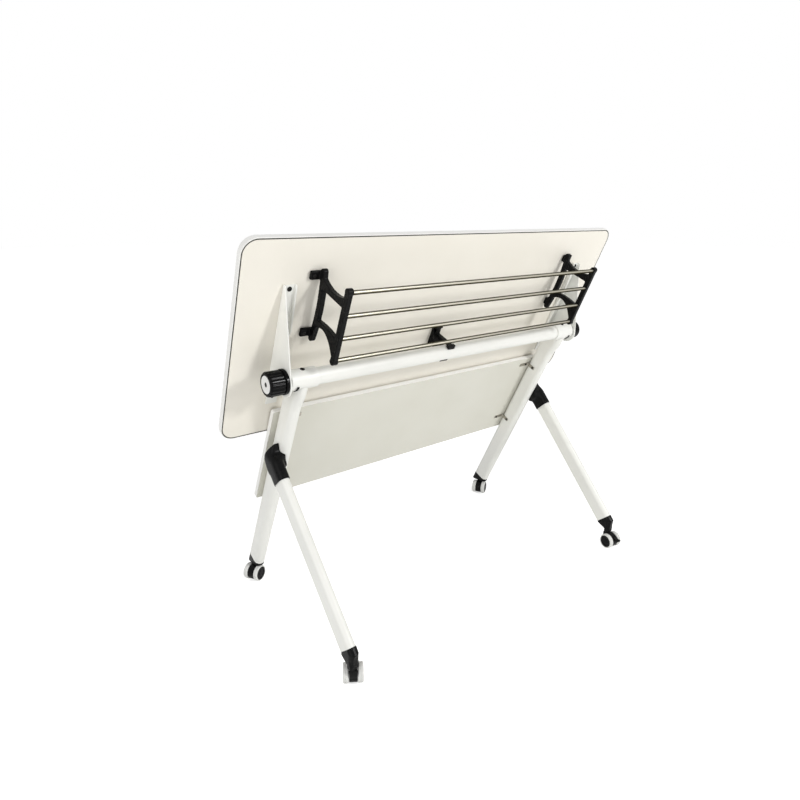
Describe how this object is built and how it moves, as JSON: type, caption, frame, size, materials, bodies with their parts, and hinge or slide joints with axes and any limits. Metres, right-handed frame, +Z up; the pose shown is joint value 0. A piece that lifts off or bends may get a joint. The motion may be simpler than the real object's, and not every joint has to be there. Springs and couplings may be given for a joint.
{
  "type": "flip top training table",
  "caption": "Mobile training table whose rectangular top flips up for nesting, on splayed A-shaped legs with casters, with a wire book rack and a modesty panel.",
  "frame": {"origin": "middle of the bounding box on the floor, with the top tipped up as in the picture", "axes": "+X runs to the right along the pivot beam, -Y faces the rack side, +Z is up"},
  "size_m": [1.2, 0.6068, 0.9628],
  "materials": {
    "board": "melamine-faced board, satin",
    "edge": "soft edge band, satin",
    "panel_board": "melamine-faced board, satin",
    "white_paint": "powder coat, satin",
    "black_plastic": "moulded nylon, semi-gloss",
    "white_plastic": "moulded plastic, satin",
    "rod_steel": "satin stainless tube",
    "strip_steel": "zinc-plated strip",
    "fastener_steel": "plated steel",
    "wheel_tread": "soft white tread"
  },
  "bodies": {
    "frame": {"beam": "white_paint", "collar_left": "white_paint", "pivot_bolt_left": "fastener_steel", "pivot_washer_left": "black_plastic", "collar_screw_left": "fastener_steel", "collar_right": "white_paint", "pivot_bolt_right": "fastener_steel", "pivot_washer_right": "black_plastic", "collar_screw_right": "fastener_steel", "end_cap": "black_plastic", "main_leg_left": "white_paint", "front_leg_left": "white_paint", "leg_joint_left": "black_plastic", "front_socket_left": "black_plastic", "rear_socket_left": "black_plastic", "main_leg_right": "white_paint", "front_leg_right": "white_paint", "leg_joint_right": "black_plastic", "front_socket_right": "black_plastic", "rear_socket_right": "black_plastic", "modesty_panel": "panel_board", "panel_strip_upper_left": "strip_steel", "panel_strip_lower_left": "strip_steel", "panel_strip_upper_right": "strip_steel", "panel_strip_lower_right": "strip_steel"},
    "top": {"table_top": "board", "edge_band": "edge", "support_arm_left": "white_paint", "support_arm_right": "white_paint", "rack_bracket_left": "black_plastic", "rack_bracket_right": "black_plastic", "rack_rod_1": "rod_steel", "rack_rod_2": "rod_steel", "rack_rod_3": "rod_steel", "rack_rod_4": "rod_steel", "latch_base": "black_plastic", "latch_pin": "fastener_steel", "latch_spring": "fastener_steel"},
    "latch": {"latch_hook": "black_plastic"},
    "knob": {"knob": "black_plastic", "knob_face": "white_plastic"},
    "caster_front_left": {"caster_body_front_left": "black_plastic", "axle_front_left": "fastener_steel"},
    "caster_front_right": {"caster_body_front_right": "black_plastic", "axle_front_right": "fastener_steel"},
    "caster_rear_left": {"caster_body_rear_left": "black_plastic", "axle_rear_left": "fastener_steel"},
    "caster_rear_right": {"caster_body_rear_right": "black_plastic", "axle_rear_right": "fastener_steel"},
    "wheel_front_left_left": {"wheel_front_left_left": "wheel_tread"},
    "wheel_front_left_right": {"wheel_front_left_right": "wheel_tread"},
    "wheel_front_right_left": {"wheel_front_right_left": "wheel_tread"},
    "wheel_front_right_right": {"wheel_front_right_right": "wheel_tread"},
    "wheel_rear_left_left": {"wheel_rear_left_left": "wheel_tread"},
    "wheel_rear_left_right": {"wheel_rear_left_right": "wheel_tread"},
    "wheel_rear_right_left": {"wheel_rear_right_left": "wheel_tread"},
    "wheel_rear_right_right": {"wheel_rear_right_right": "wheel_tread"},
    "brake_front_left": {"brake_lever_front_left": "black_plastic"},
    "brake_front_right": {"brake_lever_front_right": "black_plastic"}
  },
  "joints": [
    {"name": "top_flip", "type": "hinge", "parent": "frame", "child": "top", "pos_m": [0, -0.03553, 0.652], "axis": [1, 0, 0], "range_deg": [0, 67]},
    {"name": "latch_release", "type": "hinge", "parent": "top", "child": "latch", "pos_m": [-0.022, 0.00489, 0.68654], "axis": [-1, 0, 0], "range_deg": [0, 18], "stiffness_Nm_per_rad": 0.06, "springref_deg": -20.05},
    {"name": "knob_turn", "type": "hinge", "parent": "frame", "child": "knob", "pos_m": [-0.52, -0.03553, 0.652], "axis": [-1, 0, 0], "range_deg": [0, 180]},
    {"name": "swivel_front_left", "type": "hinge", "parent": "frame", "child": "caster_front_left", "pos_m": [-0.4855, -0.25559, 0.06], "axis": [0, 0, 1], "continuous": true},
    {"name": "swivel_front_right", "type": "hinge", "parent": "frame", "child": "caster_front_right", "pos_m": [0.4855, -0.25559, 0.06], "axis": [0, 0, 1], "continuous": true},
    {"name": "swivel_rear_left", "type": "hinge", "parent": "frame", "child": "caster_rear_left", "pos_m": [-0.457, 0.26956, 0.06], "axis": [0, 0, 1], "continuous": true},
    {"name": "swivel_rear_right", "type": "hinge", "parent": "frame", "child": "caster_rear_right", "pos_m": [0.457, 0.26956, 0.06], "axis": [0, 0, 1], "continuous": true},
    {"name": "spin_front_left_left", "type": "hinge", "parent": "caster_front_left", "child": "wheel_front_left_left", "pos_m": [-0.47777, -0.24392, 0.0225], "axis": [0.8339, -0.5519, 0], "continuous": true},
    {"name": "spin_front_left_right", "type": "hinge", "parent": "caster_front_left", "child": "wheel_front_left_right", "pos_m": [-0.47777, -0.24392, 0.0225], "axis": [0.8339, -0.5519, 0], "continuous": true},
    {"name": "spin_front_right_left", "type": "hinge", "parent": "caster_front_right", "child": "wheel_front_right_left", "pos_m": [0.48321, -0.26941, 0.0225], "axis": [-0.9866, 0.1633, 0], "continuous": true},
    {"name": "spin_front_right_right", "type": "hinge", "parent": "caster_front_right", "child": "wheel_front_right_right", "pos_m": [0.48321, -0.26941, 0.0225], "axis": [-0.9866, 0.1633, 0], "continuous": true},
    {"name": "spin_rear_left_left", "type": "hinge", "parent": "caster_rear_left", "child": "wheel_rear_left_left", "pos_m": [-0.46935, 0.26296, 0.0225], "axis": [-0.471, 0.8821, 0], "continuous": true},
    {"name": "spin_rear_left_right", "type": "hinge", "parent": "caster_rear_left", "child": "wheel_rear_left_right", "pos_m": [-0.46935, 0.26296, 0.0225], "axis": [-0.471, 0.8821, 0], "continuous": true},
    {"name": "spin_rear_right_left", "type": "hinge", "parent": "caster_rear_right", "child": "wheel_rear_right_left", "pos_m": [0.44482, 0.26266, 0.0225], "axis": [-0.4924, 0.8704, 0], "continuous": true},
    {"name": "spin_rear_right_right", "type": "hinge", "parent": "caster_rear_right", "child": "wheel_rear_right_right", "pos_m": [0.44482, 0.26266, 0.0225], "axis": [-0.4924, 0.8704, 0], "continuous": true},
    {"name": "brake_front_left", "type": "hinge", "parent": "caster_front_left", "child": "brake_front_left", "pos_m": [-0.46922, -0.231, 0.0345], "axis": [-0.8339, 0.5519, 0], "range_deg": [0, 18]},
    {"name": "brake_front_right", "type": "hinge", "parent": "caster_front_right", "child": "brake_front_right", "pos_m": [0.48068, -0.2847, 0.0345], "axis": [0.9866, -0.1633, 0], "range_deg": [0, 18]}
  ]
}
